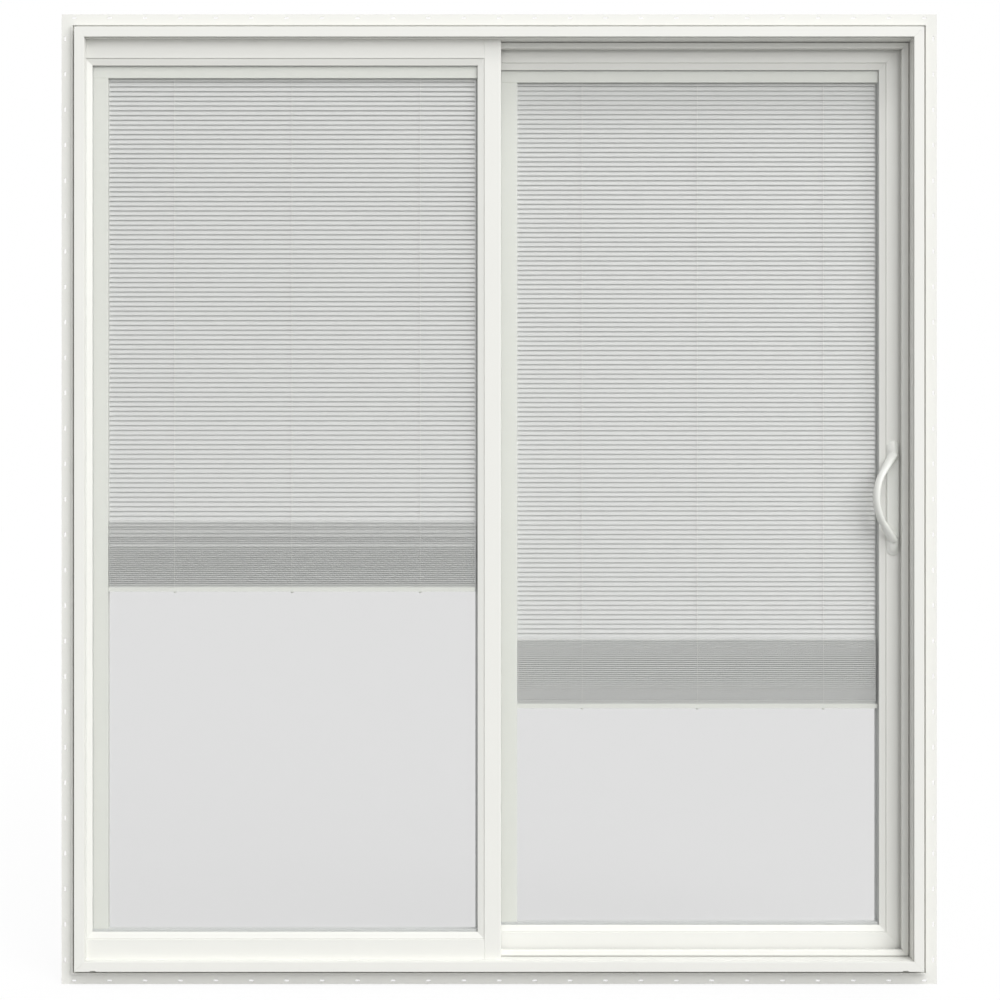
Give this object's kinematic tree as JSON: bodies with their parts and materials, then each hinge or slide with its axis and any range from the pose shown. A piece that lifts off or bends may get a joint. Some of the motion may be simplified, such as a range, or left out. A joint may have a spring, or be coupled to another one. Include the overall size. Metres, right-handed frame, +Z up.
{
  "type": "glass sliding patio door",
  "caption": "White vinyl sliding patio door with a nailing fin, a fixed panel, a sliding panel with a pull handle, and a mini blind sealed between the panes of each panel.",
  "frame": {"origin": "middle of the bottom nailing fin's back face", "axes": "+X to the right and +Z up as seen from outside, +Y inward through the wall"},
  "size_m": [1.8826, 0.1473, 2.086],
  "materials": {
    "white_vinyl": "satin white extruded vinyl",
    "bead_vinyl": "satin white extruded vinyl",
    "fin_vinyl": "matt white extruded vinyl",
    "clear_glass": "clear float glass",
    "spacer_bar": "grey spacer",
    "slat_enamel": "satin white baked enamel on aluminium",
    "blind_trim": "satin white",
    "handle_enamel": "satin white powder coat",
    "track_aluminium": "mill finish",
    "lock_steel": "brushed",
    "wheel_nylon": "matt nylon",
    "stop_rubber": "matt black rubber"
  },
  "bodies": {
    "door_frame": {"fixed_blind_bottom_rail": "blind_trim", "fixed_blind_channel": "blind_trim", "fixed_blind_headrail": "blind_trim", "fixed_blind_slats": "slat_enamel", "fixed_bottom_rail": "white_vinyl", "fixed_glass_spacer": "spacer_bar", "fixed_glazing_bead": "bead_vinyl", "fixed_inner_glass": "clear_glass", "fixed_meeting_stile": "white_vinyl", "fixed_outer_glass": "clear_glass", "fixed_side_stile": "white_vinyl", "fixed_top_rail": "white_vinyl", "frame_head": "white_vinyl", "frame_left_jamb": "white_vinyl", "frame_right_jamb": "white_vinyl", "frame_sill": "white_vinyl", "head_pocket_cover": "white_vinyl", "jamb_pocket_cover": "white_vinyl", "lock_keeper": "lock_steel", "nail_fin_bottom": "fin_vinyl", "nail_fin_left": "fin_vinyl", "nail_fin_right": "fin_vinyl", "nail_fin_top": "fin_vinyl", "panel_stop": "stop_rubber", "sill_pocket_cover": "white_vinyl", "sill_track": "track_aluminium"},
    "sliding_panel": {"inner_pull_handle": "handle_enamel", "lock_faceplate": "lock_steel", "lock_thumb_turn": "handle_enamel", "outer_pull_handle": "handle_enamel", "roller_trucks": "lock_steel", "roller_wheels": "wheel_nylon", "sliding_blind_bottom_rail": "blind_trim", "sliding_blind_channel": "blind_trim", "sliding_blind_headrail": "blind_trim", "sliding_blind_slats": "slat_enamel", "sliding_bottom_rail": "white_vinyl", "sliding_glass_spacer": "spacer_bar", "sliding_glazing_bead": "bead_vinyl", "sliding_inner_glass": "clear_glass", "sliding_lock_stile": "white_vinyl", "sliding_meeting_stile": "white_vinyl", "sliding_outer_glass": "clear_glass", "sliding_top_rail": "white_vinyl"}
  },
  "joints": [
    {"name": "panel_slide", "type": "slide", "parent": "door_frame", "child": "sliding_panel", "axis": [-1, 0, 0], "range_m": [0, 0.78]}
  ]
}
